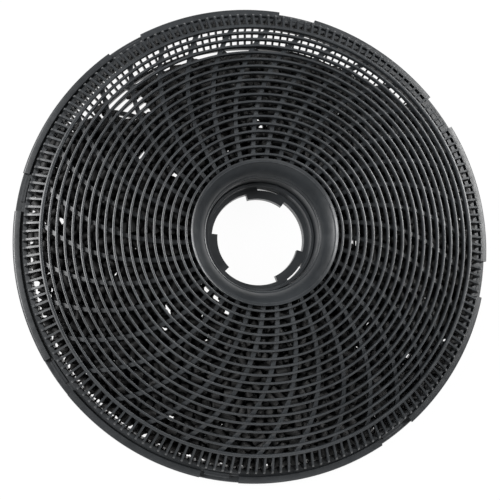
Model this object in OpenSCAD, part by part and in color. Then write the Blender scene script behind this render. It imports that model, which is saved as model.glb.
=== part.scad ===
/* [Cassette] */
// Height from the flat rear face to the crown of the front face
case_h = 35; // [33:0.5:38]
// Radius of the ring wall that closes both grilles, at its middle
wall_r = 102.1; // [101.5:0.1:103]
// Thickness of the ring wall
wall_w = 1.6; // [1.2:0.1:1.9]
// Height of the joint line between the two shells
joint_z = 12; // [11:0.5:13]

/* [Ring grille] */
// Number of thin rings between the hub and the ring wall
ring_count = 18; // [16:1:20]
// Radius of the first ring, at its middle
ring_first_r = 36.8; // [36.4:0.1:38]
// Thickness of a ring
ring_w = 1.15; // [0.9:0.05:1.4]
// Depth of the rings and the ring wall
ring_h = 7; // [6.5:0.25:7.5]
// Chamfer along the edges of each ring's face
ring_edge = 0.25; // [0.1:0.05:0.3]

/* [Front dome] */
// Radius at which the front face is highest
crown_r = 54; // [50:1:58]
// Radius of the curve from the crown down to the ring wall
dome_r = 188; // [170:2:230]

/* [Spiral arms] */
// Number of arms that tie the rings together
arm_count = 36; // [30:1:40]
// Width of an arm
arm_w = 2.3; // [1.8:0.1:2.6]
// Depth of an arm
arm_h = 2.4; // [2:0.1:2.6]
// How far the arms lie below the faces of the rings
arm_drop = 4; // [3.5:0.1:4.2]
// Angle through which an arm turns from the first ring to the ring wall
arm_sweep = 20; // [14:1:24]
// Share of that turn which builds up towards the ring wall
arm_curl = 0.47; // [0.2:0.01:0.7]
// Angle of the first arm at the first ring
arm_start = 8.7; // [0:0.1:10]

/* [Shoulder fins] */
// Number of fins round each shoulder
fin_count = 180; // [150:1:190]
// Thickness of a fin
fin_w = 0.95; // [0.8:0.05:1.2]
// Outer radius of the fins
fin_out_r = 111.1; // [110.8:0.1:111.4]
// Radius of the bend at the outer top of a fin
fin_bend_r = 2.6; // [2:0.1:3]
// Depth of a fin below its top, and inwards from its outer edge
fin_h = 4.2; // [3.6:0.1:5]
// Fall of a fin's top from the ring wall to its bend
fin_fall = 1.2; // [0.8:0.1:1.6]
// Angle of the first fin
fin_start = 0.5; // [0:0.1:2]

/* [Rim] */
// Outer radius of the rim wall that the fins stand on
rim_out_r = 112.3; // [112:0.1:112.6]
// Thickness of the rim wall
rim_w = 1.7; // [1.4:0.1:2]
// Height of the front rim wall above the joint line
rim_h = 4; // [3.6:0.1:4.4]
// Outer radius of the raised flange on the front shell
flange_r = 116.5; // [116.2:0.1:117]
// Radial width of the raised flange
flange_w = 3.3; // [3:0.1:3.4]
// Height of the raised flange above the joint line
flange_h = 3.6; // [3.2:0.1:4]
// Rounding of the flange's edges
flange_edge = 1.1; // [0.6:0.1:1.3]
// Height of the groove floor between the rim wall and the flange
groove_h = 2; // [1.6:0.1:2.2]

/* [Snap tongues] */
// Number of gaps in the flange, each with one tongue
tongue_count = 8; // [6:1:10]
// Angle of the first gap's middle
tongue_start = 35.5; // [34:0.5:37]
// Angular width of a gap in the flange
gap_angle = 9.2; // [8.6:0.1:10]
// Angular width of a tongue
tongue_angle = 5.9; // [5:0.1:6.2]
// Angle from the gap's middle to the tongue's middle
tongue_shift = -0.75; // [-1:0.05:1]
// Outer radius of the rear rim, which shows in the gaps
rear_rim_r = 115.2; // [115:0.1:115.6]
// Height of a tongue above the groove floor
tongue_rise = 1.1; // [1:0.05:1.3]
// How far a tongue's nose reaches over the groove floor
nose_reach = 0.55; // [0.4:0.05:0.7]

/* [Hub] */
// Outer radius of the hub
hub_r = 34.6; // [34.3:0.1:34.8]
// Height of the hub's outer edge above the face at that radius
hub_rise = 0.7; // [0.4:0.1:1]
// Radius of the throat at the foot of the bell
throat_r = 27.6; // [27.4:0.1:28]
// Depth of the throat below the crown
throat_drop = 9.6; // [8.5:0.1:10.5]
// Radius of the bell's curve
bell_r = 15.3; // [12:0.1:18]
// Wall thickness of the hub
hub_w = 1.8; // [1.5:0.1:2]
// Inner radius of the front sleeve
sleeve_r = 27.1; // [27:0.05:27.2]

/* [Bayonet] */
// Inner radius of the rear sleeve, which the spigot enters
socket_r = 25.2; // [25:0.05:25.3]
// Height of the rear sleeve's top edge
socket_top = 16.5; // [15:0.5:19]
// Depth of the socket behind the ledge
socket_depth = 4.2; // [3.8:0.1:4.6]
// Inner radius of the ledge
ledge_r = 23.1; // [22.8:0.1:23.4]
// Thickness of the ledge
ledge_h = 5; // [4.6:0.1:5.4]
// Number of lugs
lug_count = 3; // [2:1:4]
// Inner radius of the lugs
lug_r = 20.3; // [20:0.1:21]
// Thickness of a lug
lug_h = 4.2; // [3.8:0.1:4.5]
// Angular width of a lug
lug_angle = 50; // [44:1:54]
// Angle of the first lug's middle
lug_start = 80; // [70:0.5:90]
// Angular width of the window behind a lug
window_angle = 25; // [20:1:28]
// Angle from the lug's middle to the window's middle
window_shift = -1.5; // [-3:0.5:3]

/* [Carbon] */
// Distance from the middle of the cassette to the settled surface of the carbon
fill_y = 43; // [30:1:60]
// Slope of the settled surface
fill_tilt = -3.4; // [-6:0.2:6]

/* [Clearances] */
// Gap between the two shells where one fits in the other
shell_gap = 0.3; // [0.2:0.05:0.4]
// Gap between the carbon and the walls round it
bed_gap = 0.3; // [0.2:0.05:0.5]

/* [Hidden] */
$fn = 96;

ring_pitch = (wall_r - ring_first_r) / ring_count;
rear_floor_w = 2;
overlap = 0.4;
foot_sink = 0.3;
case_colour = [0.13, 0.13, 0.14];
carbon_colour = [0.07, 0.07, 0.07];

// How far a shell's face lies below its highest point: the front is domed, the rear is flat
function face_drop(r, domed) = domed ? (r - crown_r) * (r - crown_r) / (2 * dome_r) : 0;

// Radius of ring i, where ring 0 is the hub's edge and the last is the ring wall
function ring_r(i) = i == 0 ? hub_r - overlap : ring_first_r + (i - 1) * ring_pitch;

// Angle of an arm at a radius
function arm_turn(r) =
    let (u = (r - ring_first_r) / (wall_r - ring_first_r))
    -arm_sweep * ((1 - arm_curl) * u + arm_curl * u * u);

// Point at a radius and an angle
function polar(r, a) = [r * cos(a), r * sin(a)];

// Half of an arm's width as an angle at a radius, wider where the arm runs slantwise
function arm_half(r) =
    let (slope = r * (arm_turn(r + 0.5) - arm_turn(r - 0.5)) * PI / 180)
    (arm_w / 2) * sqrt(1 + slope * slope) / r * 180 / PI;

// Points along an arc in the order of the angle
function arc_points(c, r, a0, a1, n) =
    [for (i = [0 : n]) [c[0] + r * cos(a0 + (a1 - a0) * i / n), c[1] + r * sin(a0 + (a1 - a0) * i / n)]];

// A ring with its face up: the face's edges are chamfered
module ring(r, w, top, h) {
    rotate_extrude()
        polygon([
            [r - w / 2, top - h], [r + w / 2, top - h],
            [r + w / 2, top - ring_edge], [r + w / 2 - ring_edge, top],
            [r - w / 2 + ring_edge, top], [r - w / 2, top - ring_edge]
        ]);
}

// One piece of every arm, between ring i and the next
module arm_row(i, domed) {
    inside = 0.12;
    r0 = ring_r(i) + (i == 0 ? 0 : inside);
    r1 = ring_r(i + 1) - inside;
    top = -face_drop((r0 + r1) / 2, domed) - arm_drop;
    for (k = [0 : arm_count - 1]) {
        a = arm_start + k * 360 / arm_count;
        translate([0, 0, top - arm_h])
            linear_extrude(height = arm_h)
                polygon([
                    polar(r0, a + arm_turn(r0) - arm_half(r0)),
                    polar(r1, a + arm_turn(r1) - arm_half(r1)),
                    polar(r1, a + arm_turn(r1) + arm_half(r1)),
                    polar(r0, a + arm_turn(r0) + arm_half(r0))
                ]);
    }
}

// The rings and the spiral arms, with the highest point of the face at z = 0
module ring_field(domed) {
    for (i = [1 : ring_count])
        union() {
            ring(ring_r(i), ring_w, -face_drop(ring_r(i), domed), ring_h);
            arm_row(i, domed);
        }
    arm_row(0, domed);
}

// The ring wall and the shoulder fins round it, down to a foot below the face
module shoulder(domed, foot) {
    top = -face_drop(wall_r, domed);
    tip_x = fin_out_r - fin_bend_r;
    tip_z = top - fin_fall - fin_bend_r;
    in_x = wall_r;
    bend_in = fin_h * 0.45;
    ring(wall_r, wall_w, top, ring_h);
    for (k = [0 : fin_count - 1])
        rotate([0, 0, fin_start + k * 360 / fin_count])
            rotate([90, 0, 0])
                translate([0, 0, -fin_w / 2])
                    linear_extrude(height = fin_w)
                        polygon(concat(
                            [[in_x, top - 0.4]],
                            arc_points([tip_x, tip_z], fin_bend_r, 80, 0, 5),
                            [
                                [fin_out_r, foot], [fin_out_r - fin_h * 0.75, foot],
                                [fin_out_r - fin_h * 0.75, tip_z - bend_in],
                                [tip_x - bend_in, tip_z + fin_bend_r - fin_h],
                                [in_x, top - 0.4 - fin_h]
                            ]
                        ));
}

// Sector of a ring with a square section
module ring_sector(r0, r1, z0, z1, middle, width) {
    rotate([0, 0, middle - width / 2])
        rotate_extrude(angle = width)
            translate([r0, z0])
                square([r1 - r0, z1 - z0]);
}

// Section of the front hub: its rim, the bell down to the throat, and the sleeve below
module front_hub_section() {
    rim_z = case_h - face_drop(hub_r, true) + hub_rise;
    throat_z = case_h - throat_drop;
    run = [throat_r - hub_r, throat_z - rim_z];
    chord = norm(run);
    off = sqrt(bell_r * bell_r - chord * chord / 4);
    mid = [(throat_r + hub_r) / 2, (throat_z + rim_z) / 2];
    c = [mid[0] - run[1] / chord * off, mid[1] + run[0] / chord * off];
    foot_z = rear_floor_w + shell_gap;
    intersection() {
        difference() {
            translate(c)
                circle(r = bell_r);
            translate(c)
                circle(r = bell_r - hub_w);
        }
        translate([throat_r - 0.01, throat_z])
            square([hub_r - throat_r, rim_z - throat_z + 1]);
    }
    translate([hub_r - hub_w, case_h - face_drop(hub_r, true) - ring_h])
        square([hub_w, ring_h - 0.9]);
    translate([sleeve_r, foot_z])
        square([hub_w, throat_z - foot_z - 0.35]);
    translate([throat_r + 0.25, throat_z - 1])
        square([sleeve_r + hub_w - throat_r - 0.25, 2.5]);
}

// Section of the raised flange, with rounded edges
module flange_section() {
    x0 = flange_r - flange_w;
    difference() {
        translate([x0, joint_z])
            square([flange_w, flange_h]);
        translate([flange_r - flange_edge, joint_z + flange_h - flange_edge])
            difference() {
                square(flange_edge + 1);
                circle(r = flange_edge);
            }
    }
}

module front_grille() {
    color(case_colour) {
        union() {
            translate([0, 0, case_h])
                ring_field(true);
            rotate_extrude()
                front_hub_section();
        }
        union() {
            translate([0, 0, case_h])
                shoulder(true, joint_z - case_h);
            rotate_extrude() {
                translate([rim_out_r - rim_w, joint_z])
                    square([rim_w, rim_h]);
                translate([rim_out_r - overlap, joint_z])
                    square([flange_r - flange_w - rim_out_r + 2 * overlap, groove_h]);
            }
            for (k = [0 : tongue_count - 1])
                rotate([0, 0, tongue_start + gap_angle / 2 + k * 360 / tongue_count])
                    rotate_extrude(angle = 360 / tongue_count - gap_angle)
                        flange_section();
        }
    }
}

// Rear hub in its own frame: floor, rim, sleeve and ledge as one section
module rear_hub_section() {
    socket_out_r = sleeve_r - shell_gap;
    translate([socket_r, 0])
        square([hub_r - socket_r, rear_floor_w]);
    translate([hub_r - hub_w, 0])
        square([hub_w, ring_h]);
    translate([socket_r, 0])
        square([socket_out_r - socket_r, socket_top]);
    translate([ledge_r, socket_depth])
        square([socket_r - ledge_r + overlap, ledge_h]);
}

// One snap tongue on the rear rim, with its nose over the groove floor
module tongue(middle) {
    inner = flange_r - flange_w + overlap + shell_gap;
    nose = flange_r - flange_w - nose_reach;
    top = joint_z + groove_h + tongue_rise;
    under = joint_z + groove_h + 0.15;
    ring_sector(inner, rear_rim_r - 0.35, joint_z - shell_gap - overlap, top, middle, tongue_angle);
    ring_sector(nose, inner + overlap, under, top, middle, tongue_angle);
}

module rear_grille() {
    rim_top = joint_z - shell_gap;
    rim_foot = rim_top - rim_h;
    color(case_colour) {
        union() {
            rotate([180, 0, 0])
                ring_field(false);
            difference() {
                rotate_extrude()
                    rear_hub_section();
                for (k = [0 : lug_count - 1])
                    ring_sector(socket_r - 0.2, sleeve_r - shell_gap + 0.05, -1, socket_top + 1,
                        lug_start + window_shift + k * 360 / lug_count, window_angle);
            }
            for (k = [0 : lug_count - 1])
                ring_sector(lug_r, ledge_r + overlap, socket_depth + 0.8, socket_depth + 0.8 + lug_h,
                    lug_start + k * 360 / lug_count, lug_angle);
        }
        union() {
            rotate([180, 0, 0])
                shoulder(false, foot_sink - rim_top);
            rotate_extrude()
                translate([rim_out_r - rim_w, rim_foot])
                    square([rear_rim_r - rim_out_r + rim_w, rim_h]);
            for (k = [0 : tongue_count - 1])
                tongue(tongue_start + tongue_shift + k * 360 / tongue_count);
        }
    }
}

// The settled carbon: a full round bed cut off above its surface line
module carbon_bed() {
    floor_z = ring_h + bed_gap;
    in_r = sleeve_r + hub_w + bed_gap;
    out_r = fin_out_r - fin_h * 0.75 - bed_gap - 0.4;
    lid = case_h - ring_h - bed_gap;
    steps = 6;
    color(carbon_colour)
        difference() {
            rotate_extrude()
                polygon(concat(
                    [[in_r, floor_z], [out_r, floor_z + 1.5], [out_r, joint_z + 4]],
                    [for (i = [0 : steps])
                        let (r = wall_r - (wall_r - hub_r) * i / steps)
                        [r, lid - face_drop(r, true)]],
                    [[hub_r - hub_w - bed_gap, lid - face_drop(hub_r, true)], [in_r, lid - 4]]
                ));
            rotate([0, 0, fill_tilt])
                translate([-150, fill_y, 0])
                    cube([300, 150, case_h]);
        }
}

front_grille();
rear_grille();
carbon_bed();
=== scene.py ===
import math

import bpy
import numpy as np
from mathutils import Matrix, Vector


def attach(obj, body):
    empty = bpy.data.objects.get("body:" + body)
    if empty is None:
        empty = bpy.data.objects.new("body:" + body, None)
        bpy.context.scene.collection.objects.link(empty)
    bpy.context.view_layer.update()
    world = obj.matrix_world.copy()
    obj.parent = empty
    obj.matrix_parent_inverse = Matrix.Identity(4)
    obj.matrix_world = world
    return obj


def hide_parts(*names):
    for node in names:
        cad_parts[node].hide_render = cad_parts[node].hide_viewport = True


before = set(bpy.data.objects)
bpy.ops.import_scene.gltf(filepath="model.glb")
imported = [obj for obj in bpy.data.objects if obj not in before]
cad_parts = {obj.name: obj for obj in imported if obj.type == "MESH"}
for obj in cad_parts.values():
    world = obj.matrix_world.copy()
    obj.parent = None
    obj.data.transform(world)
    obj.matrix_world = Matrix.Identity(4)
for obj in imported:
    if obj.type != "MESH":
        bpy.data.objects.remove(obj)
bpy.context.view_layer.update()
scene = bpy.context.scene
MM = 0.001


# ---------------------------------------------------------------- sizes, in millimetres
CASE_H = 35.0
WALL_R = 102.1
WALL_W = 1.6
JOINT_Z = 12.0

RING_COUNT = 18
RING_FIRST_R = 36.8
RING_PITCH = (WALL_R - RING_FIRST_R) / RING_COUNT
RING_W = 1.15
RING_DEPTH = 2.3
RING_EDGE = 0.4
CROWN_R = 54.0
DOME_R = 188.0

ARM_COUNT = 36
ARM_W = 2.1
ARM_DEPTH = 2.2
ARM_DROP = 2.1
ARM_SWEEP = 20.0
ARM_CURL = 0.47
ARM_START = 8.7

FIN_COUNT = 180
FIN_W = 0.95
FIN_OUT_R = 111.1
FIN_BEND_R = 3.9
FIN_DEPTH = 3.0
FIN_LEG = 1.9
FIN_FALL = 3.5
FIN_START = 0.5

RIM_OUT_R = 112.3
RIM_W = 2.4
RIM_H = 4.0
FLANGE_R = 116.9
FLANGE_IN_R = 113.4
FLANGE_H = 3.6
FLANGE_EDGE = 1.1
GROOVE_H = 2.0

TONGUE_COUNT = 8
TONGUE_START = 35.5
GAP_ANGLE = 9.2
TONGUE_ANGLE = 5.9
TONGUE_SHIFT = -0.75
TONGUE_IN_R = 112.75
TONGUE_OUT_R = 114.85
TONGUE_TOP = 15.1
REAR_RIM_R = 117.2
REAR_RIM_TOP = 11.7

HUB_R = 34.6
HUB_RISE = 0.7
HUB_W = 1.8
THROAT_R = 27.6
THROAT_DROP = 9.6
BELL_R = 18.5
BEAD_R = 0.38
SLEEVE_R = 27.1

SOCKET_R = 25.2
SOCKET_OUT_R = 26.8
SOCKET_TOP = 16.5
SOCKET_DEPTH = 4.2
LEDGE_R = 23.1
LEDGE_H = 5.0
LUG_COUNT = 3
LUG_R = 20.3
LUG_H = 4.2
LUG_ANGLE = 50.0
LUG_START = 80.0
WINDOW_ANGLE = 25.0
WINDOW_SHIFT = -1.5
WINDOW_IN_R = 24.65
WINDOW_TOP = 9.6
REAR_FLOOR = 2.0


# ---------------------------------------------------------------- camera
# The axis of the cassette leans away from the line of sight by TILT, towards AZIMUTH.
TILT = math.radians(12.35)
AZIMUTH = math.radians(224.67)
DISTANCE = 330.39 * MM
FACE_Z = 34.2 * MM
FOCAL_PX = 713.68
FRAME_PX = 500
AIM_PX = (265.88, 231.29)
SENSOR = 36.0


def photo_camera():
    axis = Vector(
        (
            math.sin(TILT) * math.cos(AZIMUTH),
            math.sin(TILT) * math.sin(AZIMUTH),
            math.cos(TILT),
        )
    )
    up = Vector((0, 1, 0))
    half = FRAME_PX / 2
    aim = Vector(((AIM_PX[0] - half) / FOCAL_PX, (half - AIM_PX[1]) / FOCAL_PX, -1.0))
    aim.normalize()
    world_up = (up - axis * up.dot(axis)).normalized()
    world = Matrix((-axis, world_up, -axis.cross(world_up)))
    view_up = (up - aim * up.dot(aim)).normalized()
    view = Matrix((aim, view_up, aim.cross(view_up))).transposed()
    data = bpy.data.cameras.new("photo_camera")
    data.sensor_width = SENSOR
    data.lens = FOCAL_PX / FRAME_PX * SENSOR
    data.clip_start = 0.01
    data.clip_end = 20
    obj = bpy.data.objects.new("photo_camera", data)
    scene.collection.objects.link(obj)
    place = (view @ world).transposed().to_4x4()
    place.translation = axis * DISTANCE + Vector((0, 0, FACE_Z))
    obj.matrix_world = place
    scene.camera = obj


photo_camera()


# ---------------------------------------------------------------- materials
def new_material(name):
    mat = bpy.data.materials.new(name)
    mat.use_nodes = True
    tree = mat.node_tree
    tree.nodes.clear()
    out = tree.nodes.new("ShaderNodeOutputMaterial")
    bsdf = tree.nodes.new("ShaderNodeBsdfPrincipled")
    tree.links.new(bsdf.outputs["BSDF"], out.inputs["Surface"])
    return mat, tree, bsdf


def noise(tree, scale, detail=3.0, rough=0.55):
    coords = tree.nodes.new("ShaderNodeTexCoord")
    tex = tree.nodes.new("ShaderNodeTexNoise")
    tex.inputs["Scale"].default_value = scale
    tex.inputs["Detail"].default_value = detail
    tex.inputs["Roughness"].default_value = rough
    tree.links.new(coords.outputs["Object"], tex.inputs["Vector"])
    return tex


def ramp(tree, source, stops):
    node = tree.nodes.new("ShaderNodeValToRGB")
    elements = node.color_ramp.elements
    elements[0].position, elements[0].color = stops[0][0], (*stops[0][1], 1)
    elements[1].position, elements[1].color = stops[-1][0], (*stops[-1][1], 1)
    for pos, colour in stops[1:-1]:
        elements.new(pos).color = (*colour, 1)
    tree.links.new(source, node.inputs["Fac"])
    return node


def remap(tree, source, low, high, target):
    node = tree.nodes.new("ShaderNodeMapRange")
    node.inputs["From Min"].default_value = 0.3
    node.inputs["From Max"].default_value = 0.7
    node.inputs["To Min"].default_value = low
    node.inputs["To Max"].default_value = high
    tree.links.new(source, node.inputs["Value"])
    tree.links.new(node.outputs["Result"], target)


def bump(tree, source, strength, distance, target):
    node = tree.nodes.new("ShaderNodeBump")
    node.inputs["Strength"].default_value = strength
    node.inputs["Distance"].default_value = distance
    tree.links.new(source, node.inputs["Height"])
    tree.links.new(node.outputs["Normal"], target)


def grey(v, blue=0.0):
    return (v, v * (1 + blue * 0.5), v * (1 + blue))


def moulded_plastic():
    mat, tree, bsdf = new_material("moulded_plastic")
    cloud = noise(tree, 38.0, 4.0)
    stops = [(0.3, grey(0.011, 0.25)), (0.5, grey(0.016, 0.25)), (0.72, grey(0.023, 0.2))]
    colour = ramp(tree, cloud.outputs["Fac"], stops)
    tree.links.new(colour.outputs["Color"], bsdf.inputs["Base Color"])
    haze = noise(tree, 260.0, 3.0)
    remap(tree, haze.outputs["Fac"], 0.3, 0.42, bsdf.inputs["Roughness"])
    bsdf.inputs["Specular IOR Level"].default_value = 0.5
    grain = noise(tree, 2600.0, 2.0)
    bump(tree, grain.outputs["Fac"], 0.25, 0.00006, bsdf.inputs["Normal"])
    return mat


def pressed_carbon():
    mat, tree, bsdf = new_material("pressed_carbon")
    cloud = noise(tree, 320.0, 3.0)
    stops = [(0.3, grey(0.005)), (0.55, grey(0.009)), (0.75, grey(0.018))]
    colour = ramp(tree, cloud.outputs["Fac"], stops)
    tree.links.new(colour.outputs["Color"], bsdf.inputs["Base Color"])
    bsdf.inputs["Roughness"].default_value = 0.6
    bsdf.inputs["Specular IOR Level"].default_value = 0.35
    grain = noise(tree, 3400.0, 4.0, 0.7)
    bump(tree, grain.outputs["Fac"], 0.6, 0.00015, bsdf.inputs["Normal"])
    return mat


PLASTIC = moulded_plastic()
CARBON = pressed_carbon()


# ---------------------------------------------------------------- mesh helpers
class Moulding:
    """Gathers closed solids, given in millimetres, for one mesh."""

    def __init__(self):
        self.verts = []
        self.faces = []
        self.count = 0

    def add(self, verts, faces, rear=False):
        verts = np.asarray(verts, dtype=float)
        if rear:
            verts = verts * (1, -1, -1)
        self.verts.append(verts)
        self.faces += [tuple(self.count + i for i in f) for f in faces]
        self.count += len(verts)

    def object(self, name, material, sharp):
        mesh = bpy.data.meshes.new(name)
        mesh.from_pydata((np.concatenate(self.verts) * MM).tolist(), [], self.faces)
        mesh.polygons.foreach_set("use_smooth", [True] * len(self.faces))
        mesh.set_sharp_from_angle(angle=math.radians(sharp))
        mesh.materials.append(material)
        mesh.validate()
        obj = bpy.data.objects.new(name, mesh)
        scene.collection.objects.link(obj)
        return obj


def ccw(points):
    """The closed outline in counter-clockwise order."""
    area = sum(a[0] * b[1] - b[0] * a[1] for a, b in zip(points, points[1:] + points[:1]))
    return points if area > 0 else points[::-1]


def arc(centre, radius, start, end, steps):
    """Points along an arc in a section, with angles in degrees."""
    out = []
    for i in range(steps + 1):
        t = math.radians(start + (end - start) * i / steps)
        out.append((centre[0] + radius * math.cos(t), centre[1] + radius * math.sin(t)))
    return out


def box_section(r0, r1, z0, z1, edge=0.2):
    """Rectangle with chamfered corners."""
    return [
        (r0 + edge, z0), (r1 - edge, z0), (r1, z0 + edge), (r1, z1 - edge),
        (r1 - edge, z1), (r0 + edge, z1), (r0, z1 - edge), (r0, z0 + edge),
    ]


def revolve(part, section, middle=0.0, width=360.0, step=1.5, rear=False):
    """Turns a section of radius and height round the axis, over the whole circle or a sector."""
    section = ccw(list(section))
    n = len(section)
    full = width >= 360
    cuts = max(2, round(width / step))
    start = 0.0 if full else middle - width / 2
    rows = cuts if full else cuts + 1
    verts = []
    for k in range(rows):
        t = math.radians(start + width * k / cuts)
        verts += [(r * math.cos(t), r * math.sin(t), z) for r, z in section]
    faces = []
    for k in range(cuts):
        a, b = k * n, ((k + 1) % rows) * n
        for i in range(n):
            j = (i + 1) % n
            faces.append((a + i, b + i, b + j, a + j))
    if not full:
        faces.append(tuple(range(n)))
        faces.append(tuple(reversed(range(cuts * n, cuts * n + n))))
    part.add(verts, faces, rear)


def plate(part, section, angle, width, rear=False):
    """A flat plate in the plane of the axis, with a section of radius and height."""
    section = ccw(list(section))
    n = len(section)
    t = math.radians(angle)
    verts = []
    for side in (-width / 2, width / 2):
        for r, z in section:
            verts.append((r * math.cos(t) - side * math.sin(t), r * math.sin(t) + side * math.cos(t), z))
    faces = [(i, n + i, n + (i + 1) % n, (i + 1) % n) for i in range(n)]
    faces.append(tuple(range(n)))
    faces.append(tuple(reversed(range(n, 2 * n))))
    part.add(verts, faces, rear)


# ---------------------------------------------------------------- grilles
def face_drop(r, domed):
    """How far the face lies below its highest point; the rear is flat."""
    return (r - CROWN_R) ** 2 / (2 * DOME_R) if domed else 0.0


def ring_section(r, width, top):
    half = width / 2
    return [
        (r - half + 0.12, top - RING_DEPTH),
        (r + half - 0.12, top - RING_DEPTH),
        (r + half, top - RING_EDGE),
        (r + half - RING_EDGE * 0.3, top - RING_EDGE * 0.3),
        (r + half - RING_EDGE, top),
        (r - half + RING_EDGE, top),
        (r - half + RING_EDGE * 0.3, top - RING_EDGE * 0.3),
        (r - half, top - RING_EDGE),
    ]


def arm_turn(r):
    u = (r - RING_FIRST_R) / (WALL_R - RING_FIRST_R)
    return -ARM_SWEEP * ((1 - ARM_CURL) * u + ARM_CURL * u * u)


def arm(part, base_z, domed, start, rear):
    """One spiral arm below the rings, from the hub to the ring wall."""
    steps = 22
    edge = 0.25
    outline = [(-1, 0), (1, 0), (1, 1 - edge / ARM_DEPTH), (1 - edge * 0.8, 1), (edge * 0.8 - 1, 1), (-1, 1 - edge / ARM_DEPTH)]
    n = len(outline)
    verts = []
    for k in range(steps + 1):
        r = HUB_R - 0.4 + (WALL_R - HUB_R + 0.4) * k / steps
        slope = r * math.radians(arm_turn(r + 0.5) - arm_turn(r - 0.5))
        half = ARM_W / 2 * math.sqrt(1 + slope * slope) / r
        low = base_z - face_drop(r, domed) - ARM_DROP - ARM_DEPTH
        for side, rise in outline:
            t = math.radians(start + arm_turn(r)) + side * half
            verts.append((r * math.cos(t), r * math.sin(t), low + rise * ARM_DEPTH))
    faces = []
    for k in range(steps):
        a, b = k * n, (k + 1) * n
        for i in range(n):
            j = (i + 1) % n
            faces.append((a + i, a + j, b + j, b + i))
    faces.append(tuple(reversed(range(n))))
    faces.append(tuple(range(steps * n, steps * n + n)))
    part.add(verts, faces, rear)


def ring_field(part, base_z, domed, rear=False):
    for i in range(RING_COUNT):
        r = RING_FIRST_R + i * RING_PITCH
        revolve(part, ring_section(r, RING_W, base_z - face_drop(r, domed)), rear=rear)
    for k in range(ARM_COUNT):
        arm(part, base_z, domed, ARM_START + k * 360 / ARM_COUNT, rear)


def shoulder(part, base_z, domed, foot, rear=False):
    """The ring wall and the fins round it, down to their feet on the rim."""
    top = base_z - face_drop(WALL_R, domed)
    revolve(part, ring_section(WALL_R, WALL_W, top), rear=rear)
    tip = (FIN_OUT_R - FIN_BEND_R, top - FIN_FALL - FIN_BEND_R)
    leg_r = FIN_OUT_R - FIN_LEG
    section = [(WALL_R, top - 0.4)]
    section += arc(tip, FIN_BEND_R, 78, 0, 5)
    section += [
        (FIN_OUT_R, foot),
        (leg_r, foot),
        (leg_r, tip[1] + FIN_BEND_R - FIN_DEPTH - 0.9),
        (leg_r - 0.8, tip[1] + FIN_BEND_R - FIN_DEPTH),
        (WALL_R, top - 0.4 - FIN_DEPTH),
    ]
    for k in range(FIN_COUNT):
        plate(part, section, FIN_START + k * 360 / FIN_COUNT, FIN_W, rear)


def bell_section():
    """The hub's bell, from its rim down to the throat."""
    rim = (HUB_R, CASE_H - face_drop(HUB_R, True) + HUB_RISE)
    throat = (THROAT_R, CASE_H - THROAT_DROP)
    run = (throat[0] - rim[0], throat[1] - rim[1])
    chord = math.hypot(*run)
    off = math.sqrt(BELL_R**2 - chord**2 / 4)
    c = (
        (rim[0] + throat[0]) / 2 - run[1] / chord * off,
        (rim[1] + throat[1]) / 2 + run[0] / chord * off,
    )
    start = math.degrees(math.atan2(rim[1] - c[1], rim[0] - c[0]))
    end = math.degrees(math.atan2(throat[1] - c[1], throat[0] - c[0]))
    outer = arc(c, BELL_R, start + 2.0, end, 14)
    lip = [(HUB_R, rim[1] - HUB_W), (HUB_R, rim[1] - 0.55), (HUB_R - 0.12, rim[1] - 0.22)]
    return lip + outer + arc(c, BELL_R - HUB_W, end - 2.0, start + 4.0, 10)


def front_hub(part):
    throat_z = CASE_H - THROAT_DROP
    outer_r = SLEEVE_R + HUB_W
    rim_low = CASE_H - face_drop(HUB_R, True) - ARM_DROP - ARM_DEPTH - 0.3
    revolve(part, bell_section(), step=1.25)
    bead = arc((THROAT_R + 0.15, throat_z + 0.1), BEAD_R, 0, 315, 7)
    revolve(part, bead, step=1.25)
    revolve(part, box_section(HUB_R - HUB_W, HUB_R, rim_low, rim_low + 4.4), step=1.25)
    revolve(part, box_section(SLEEVE_R, outer_r, REAR_FLOOR + 0.3, throat_z - 0.35), step=1.25)
    revolve(part, box_section(THROAT_R + 0.25, outer_r, throat_z - 1, throat_z + 1.5), step=1.25)


def flange_section():
    corner = (FLANGE_R - FLANGE_EDGE, JOINT_Z + FLANGE_H - FLANGE_EDGE)
    section = [(FLANGE_IN_R, JOINT_Z), (FLANGE_R, JOINT_Z)]
    section += arc(corner, FLANGE_EDGE, 0, 90, 5)
    section += [(FLANGE_IN_R + 0.3, JOINT_Z + FLANGE_H), (FLANGE_IN_R, JOINT_Z + FLANGE_H - 0.3)]
    return section


def front_grille():
    part = Moulding()
    ring_field(part, CASE_H, True)
    front_hub(part)
    shoulder(part, CASE_H, True, JOINT_Z)
    revolve(part, box_section(RIM_OUT_R - RIM_W, RIM_OUT_R, JOINT_Z, JOINT_Z + RIM_H, 0.3))
    revolve(part, box_section(RIM_OUT_R - 0.4, FLANGE_IN_R + 0.4, JOINT_Z, JOINT_Z + GROOVE_H))
    for k in range(TONGUE_COUNT):
        middle = TONGUE_START + (k + 0.5) * 360 / TONGUE_COUNT
        revolve(part, flange_section(), middle, 360 / TONGUE_COUNT - GAP_ANGLE)
    return part.object("front_grille_moulding", PLASTIC, 28)


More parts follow.
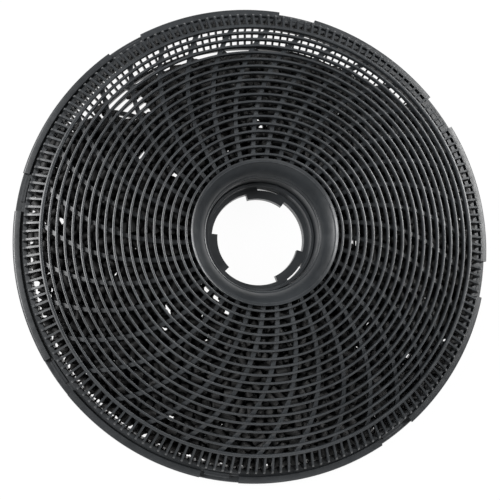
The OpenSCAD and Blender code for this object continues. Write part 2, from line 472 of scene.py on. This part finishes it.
def socket_wall(part):
    """The rear sleeve and its ledge, with a window through both behind each lug."""
    ledge_top = SOCKET_DEPTH + LEDGE_H
    revolve(part, box_section(SOCKET_R, SOCKET_OUT_R, WINDOW_TOP, SOCKET_TOP), step=1.25)
    revolve(part, box_section(LEDGE_R, WINDOW_IN_R, SOCKET_DEPTH, ledge_top), step=1.25)
    wall = box_section(SOCKET_R, SOCKET_OUT_R, 0.0, WINDOW_TOP + 0.4)
    ledge = box_section(WINDOW_IN_R - 0.4, SOCKET_R + 0.4, SOCKET_DEPTH, ledge_top)
    for k in range(LUG_COUNT):
        middle = LUG_START + WINDOW_SHIFT + (k + 0.5) * 360 / LUG_COUNT
        for section in (wall, ledge):
            revolve(part, section, middle, 360 / LUG_COUNT - WINDOW_ANGLE, step=1.25)


def rear_grille():
    part = Moulding()
    rim_top = REAR_RIM_TOP
    ring_field(part, 0.0, False, rear=True)
    shoulder(part, 0.0, False, 0.3 - rim_top, rear=True)
    rim = [
        (RIM_OUT_R - RIM_W, rim_top - RIM_H), (REAR_RIM_R - 1.0, rim_top - RIM_H),
        (REAR_RIM_R, rim_top - RIM_H + 1.0), (REAR_RIM_R, rim_top - 0.5),
        (REAR_RIM_R - 0.5, rim_top), (RIM_OUT_R - RIM_W, rim_top),
    ]
    revolve(part, rim)
    floor_in = SOCKET_OUT_R
    revolve(part, box_section(floor_in, HUB_R, 0.0, REAR_FLOOR), step=1.25)
    revolve(part, box_section(HUB_R - HUB_W, HUB_R, 0.0, ARM_DROP + ARM_DEPTH + 0.3), step=1.25)
    socket_wall(part)
    lug = box_section(LUG_R, LEDGE_R + 0.4, SOCKET_DEPTH + 0.8, SOCKET_DEPTH + 0.8 + LUG_H)
    for k in range(LUG_COUNT):
        revolve(part, lug, LUG_START + k * 360 / LUG_COUNT, LUG_ANGLE, step=1.25)
    stem = box_section(FLANGE_IN_R + 0.3, TONGUE_OUT_R, rim_top - 0.4, TONGUE_TOP)
    nose = box_section(TONGUE_IN_R, FLANGE_IN_R + 0.8, JOINT_Z + GROOVE_H + 0.15, TONGUE_TOP)
    for k in range(TONGUE_COUNT):
        middle = TONGUE_START + TONGUE_SHIFT + k * 360 / TONGUE_COUNT
        revolve(part, stem, middle, TONGUE_ANGLE)
        revolve(part, nose, middle, TONGUE_ANGLE)
    return part.object("rear_grille_moulding", PLASTIC, 28)


for grille, node in ((front_grille(), "front_grille"), (rear_grille(), "rear_grille")):
    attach(grille, "root")
    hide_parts(node)


# ---------------------------------------------------------------- pellets
PELLET_COUNT = 6300
PELLET_STEPS = 70
PELLET_SIDES = 8
PELLET_PIECES = 3
BED_IN_R = 29.3
BED_OUT_R = 108.9
BED_FLOOR = ARM_DROP + ARM_DEPTH + 0.2
BED_LID = CASE_H - BED_FLOOR
# The pellets reach the lid up to a straight line and slope from there to an arc on the floor.
LINE_Y = 43.1
LINE_SLOPE = -0.0586
ARC_X, ARC_Y = 5.0, -40.0
ARC_REACH_X, ARC_REACH_Y = 126.0, 135.8
DENT_X, DENT_Y, DENT_R = -64.0, 63.0, 11.0
# Loose spots in the bed, each a line from the front grille to the rear one: x, y, x, y.
LOOSE = (
    (-58.4, 34.3, -59.0, 40.7), (-50.0, 27.5, -50.0, 33.4), (-42.6, 25.8, -42.0, 31.6),
    (-1.1, 50.7, 2.7, 58.3), (-92.7, 3.3, -95.9, 7.4), (-30.9, -18.9, -29.4, -16.6),
    (-28.0, -24.0, -26.3, -22.0), (-25.7, -27.2, -23.8, -25.4), (-22.0, -31.7, -19.8, -30.3),
    (-17.8, -37.6, -15.3, -36.7), (-30.2, -38.6, -28.6, -37.8), (-45.0, -45.1, -44.6, -44.7),
    (-26.4, -50.0, -24.6, -50.0), (-43.9, -35.6, -43.4, -34.5), (69.2, -57.7, 78.3, -58.3),
    (43.3, -4.4, 50.4, -0.9), (-43.0, -83.7, -42.5, -86.3),
)
LOOSE_R = 2.05
SLOPE_FALL = 0.22
EDGE_START = 0.9
EDGE_FALL = 9.0


def surface_z(x, y):
    """Height of the settled surface above a place on the rear face."""
    lid = BED_LID - (np.hypot(x, y) - CROWN_R) ** 2 / (2 * DOME_R)
    near = LINE_Y + LINE_SLOPE * x
    far = ARC_Y + ARC_REACH_Y * np.sqrt(np.maximum(1 - ((x - ARC_X) / ARC_REACH_X) ** 2, 0.01))
    fall = (y - near) / np.maximum(far - near, 2.0)
    fall = SLOPE_FALL * fall + np.maximum(fall - EDGE_START, 0) * EDGE_FALL
    dent = 2.2 * (1 - np.hypot(x - DENT_X, y - DENT_Y) / DENT_R)
    fall = np.maximum(fall, np.minimum(dent, 1.3))
    return lid - np.clip(fall, 0, 1.6) * (lid - BED_FLOOR)


def close_pairs(points, size):
    """Pairs of points in the same or in touching cells of a grid, each pair once."""
    cell = np.floor((points - points.min(0)) / size).astype(np.int64) + 1
    ny, nz = cell[:, 1].max() + 3, cell[:, 2].max() + 3
    key = (cell[:, 0] * ny + cell[:, 1]) * nz + cell[:, 2]
    order = np.argsort(key, kind="stable")
    keys = key[order]
    ids = np.arange(len(keys))
    steps = [(x * ny + y) * nz + z for x in (-1, 0, 1) for y in (-1, 0, 1) for z in (-1, 0, 1)]
    first, second = [], []
    for step in (s for s in steps if s >= 0):
        hi = np.searchsorted(keys, keys + step, "right")
        lo = np.searchsorted(keys, keys + step, "left") if step else np.minimum(ids + 1, hi)
        count = hi - lo
        start = np.cumsum(count) - count
        first.append(order[np.repeat(ids, count)])
        second.append(order[np.arange(count.sum()) + np.repeat(lo - start, count)])
    return np.concatenate(first), np.concatenate(second)


def random_places(rng, count):
    """Places inside the bed."""
    found = np.zeros((0, 3))
    low = (-BED_OUT_R, -BED_OUT_R, BED_FLOOR)
    high = (BED_OUT_R, BED_OUT_R, BED_LID)
    while len(found) < count:
        p = rng.uniform(low, high, (count, 3))
        r = np.hypot(p[:, 0], p[:, 1])
        inside = (r < BED_OUT_R - 2) & (r > BED_IN_R + 2) & (p[:, 2] < surface_z(p[:, 0], p[:, 1]) - 1)
        found = np.concatenate([found, p[inside]])
    return found[:count]


def off_loose_spots(centre, axis, half):
    """True for the pellets that keep clear of the loose spots."""
    keep = np.ones(len(centre), dtype=bool)
    ends = [centre + axis * half[:, None] * side for side in (-1, 0, 1)]
    for x0, y0, x1, y1 in LOOSE:
        top = np.array((x0, y0, BED_LID))
        line = np.array((x1, y1, BED_FLOOR)) - top
        for p in ends:
            share = np.clip((p - top) @ line / (line @ line), 0, 1)
            gap = np.linalg.norm(p - top - share[:, None] * line, axis=1)
            keep &= gap > LOOSE_R
    return keep


def pack_pellets(rng):
    """Pushes overlapping rods apart, each held as three balls on its axis, inside the bed."""
    centre = random_places(rng, PELLET_COUNT)
    axis = rng.normal(size=(PELLET_COUNT, 3)) * (1, 1, 0.45)
    axis /= np.linalg.norm(axis, axis=1)[:, None]
    radius = rng.uniform(1.65, 2.05, PELLET_COUNT)
    half = rng.uniform(1.2, 3.5, PELLET_COUNT)
    reach = half[:, None] * np.array([-1.0, 0.0, 1.0])
    owner = np.repeat(np.arange(PELLET_COUNT), 3)
    ball = np.repeat(radius, 3)
    for _ in range(PELLET_STEPS):
        pts = (centre[:, None, :] + axis[:, None, :] * reach[:, :, None]).reshape(-1, 3)
        i, j = close_pairs(pts, 4.1)
        other = owner[i] != owner[j]
        i, j = i[other], j[other]
        gap = pts[i] - pts[j]
        dist = np.sqrt(np.einsum("ij,ij->i", gap, gap)) + 1e-9
        bite = ball[i] + ball[j] - dist
        hit = bite > 0
        push = gap[hit] * (bite[hit] / dist[hit])[:, None] * 0.5
        shift = np.zeros_like(pts)
        for k in range(3):
            shift[:, k] += np.bincount(i[hit], push[:, k], len(pts))
            shift[:, k] -= np.bincount(j[hit], push[:, k], len(pts))
        r = np.hypot(pts[:, 0], pts[:, 1])
        wall = np.minimum(BED_OUT_R - ball - r, 0) + np.maximum(BED_IN_R + ball - r, 0)
        shift[:, :2] += pts[:, :2] / r[:, None] * wall[:, None] * 1.5
        shift[:, 2] += np.maximum(BED_FLOOR + ball - pts[:, 2], 0) * 1.5
        over = np.maximum(pts[:, 2] + ball - surface_z(pts[:, 0], pts[:, 1]), 0)
        slope = pts[:, 1] > LINE_Y
        shift[:, 2] -= over * np.where(slope, 0.8, 1.5)
        shift[:, 1] -= over * np.where(slope, 0.35, 0.0)
        move = shift.reshape(-1, 3, 3).sum(1) * 0.42
        size = np.linalg.norm(move, axis=1)
        centre += move * np.minimum(1, 0.8 / np.maximum(size, 1e-9))[:, None]
        lever = np.repeat(axis, 3, 0) * reach.reshape(-1)[:, None]
        turn = np.cross(lever, shift).reshape(-1, 3, 3).sum(1) * (0.35 / (1 + 2 * half**2))[:, None]
        axis = axis + np.cross(turn, axis)
        axis /= np.linalg.norm(axis, axis=1)[:, None]
    keep = off_loose_spots(centre, axis, half)
    return centre[keep], axis[keep], half[keep], radius[keep]


def pellet_piece(name, centre, axis, half, radius, rng):
    """Short rods with blunt ends."""
    n = PELLET_SIDES
    rows = ((0.62, -1, 0.0), (1.0, -1, 0.38), (1.0, 1, 0.38), (0.62, 1, 0.0))
    side = np.cross(axis, (0.31, 0.52, 0.8))
    side /= np.linalg.norm(side, axis=1)[:, None]
    third = np.cross(axis, side)
    spin = rng.uniform(0, math.pi, len(centre))[:, None] + np.arange(n) * 2 * math.pi / n
    verts = []
    for share, end, inset in rows:
        along = axis * (end * (half + 0.5 - inset * radius * 0.5))[:, None]
        round_x = (radius * share)[:, None] * np.cos(spin)
        round_y = (radius * share)[:, None] * np.sin(spin)
        ring = side[:, None, :] * round_x[:, :, None] + third[:, None, :] * round_y[:, :, None]
        verts.append(ring + (centre + along)[:, None, :])
    block = np.concatenate(verts, axis=1)
    quads = []
    for k in range(len(rows) - 1):
        for i in range(n):
            j = (i + 1) % n
            quads.append((k * n + i, k * n + j, (k + 1) * n + j, (k + 1) * n + i))
    ends = [tuple(reversed(range(n))), tuple(range(3 * n, 4 * n))]
    part = Moulding()
    for rod in block:
        part.add(rod, quads + ends)
    return part.object(name, CARBON, 50)


def make_pellets():
    rng = np.random.default_rng(41)
    pellets = pack_pellets(rng)
    order = np.argsort(pellets[0][:, 2])
    for k, ids in enumerate(np.array_split(order, PELLET_PIECES)):
        piece = pellet_piece(f"pellets_{k + 1}", *(v[ids] for v in pellets), rng)
        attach(piece, "root")
        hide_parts("carbon_bed")


make_pellets()


# ---------------------------------------------------------------- floor and light
FLOOR_GAP = 0.2 * MM


def white_floor():
    """White to the camera and in reflections, and a plain pale diffuse floor for its shadows."""
    mat, tree, bsdf = new_material("floor")
    tree.nodes.remove(bsdf)
    paint = tree.nodes.new("ShaderNodeBsdfDiffuse")
    paint.inputs["Color"].default_value = (0.8, 0.8, 0.8, 1)
    glow = tree.nodes.new("ShaderNodeEmission")
    glow.inputs["Strength"].default_value = 1.0
    path = tree.nodes.new("ShaderNodeLightPath")
    seen = path.outputs["Is Camera Ray"]
    for ray in ("Is Glossy Ray", "Is Transmission Ray"):
        either = tree.nodes.new("ShaderNodeMath")
        either.operation = "MAXIMUM"
        tree.links.new(seen, either.inputs[0])
        tree.links.new(path.outputs[ray], either.inputs[1])
        seen = either.outputs[0]
    share = tree.nodes.new("ShaderNodeMath")
    share.operation = "MULTIPLY"
    share.inputs[1].default_value = GLOW_SHARE
    tree.links.new(seen, share.inputs[0])
    mix = tree.nodes.new("ShaderNodeMixShader")
    tree.links.new(share.outputs[0], mix.inputs["Fac"])
    tree.links.new(paint.outputs["BSDF"], mix.inputs[1])
    tree.links.new(glow.outputs["Emission"], mix.inputs[2])
    out = next(n for n in tree.nodes if n.type == "OUTPUT_MATERIAL")
    tree.links.new(mix.outputs["Shader"], out.inputs["Surface"])
    return mat


GLOW_SHARE = 0.96


def make_floor():
    size = 3.0
    corners = [(-size, -size, 0), (size, -size, 0), (size, size, 0), (-size, size, 0)]
    mesh = bpy.data.meshes.new("floor")
    mesh.from_pydata(corners, [], [(0, 1, 2, 3)])
    mesh.materials.append(white_floor())
    obj = bpy.data.objects.new("floor", mesh)
    scene.collection.objects.link(obj)
    obj.location.z = -FLOOR_GAP


def area_light(name, place, size, watts):
    data = bpy.data.lights.new(name, "AREA")
    data.shape = "DISK"
    data.size = size
    data.energy = watts
    obj = bpy.data.objects.new(name, data)
    scene.collection.objects.link(obj)
    obj.location = place
    look = Vector((0, 0, 0.02)) - Vector(place)
    obj.rotation_mode = "QUATERNION"
    obj.rotation_quaternion = look.to_track_quat("-Z", "Y")


def world_light():
    world = bpy.data.worlds.new("studio")
    scene.world = world
    world.use_nodes = True
    background = world.node_tree.nodes["Background"]
    background.inputs["Color"].default_value = (1, 1, 1, 1)
    background.inputs["Strength"].default_value = 0.18


make_floor()
area_light("key", (-0.85, 0.15, 0.75), 0.7, 23.0)
area_light("fill", (0.85, 0.35, 0.75), 0.7, 21.0)
area_light("front", (0.1, -0.9, 0.9), 0.9, 3.0)
world_light()

scene.view_settings.view_transform = "Standard"
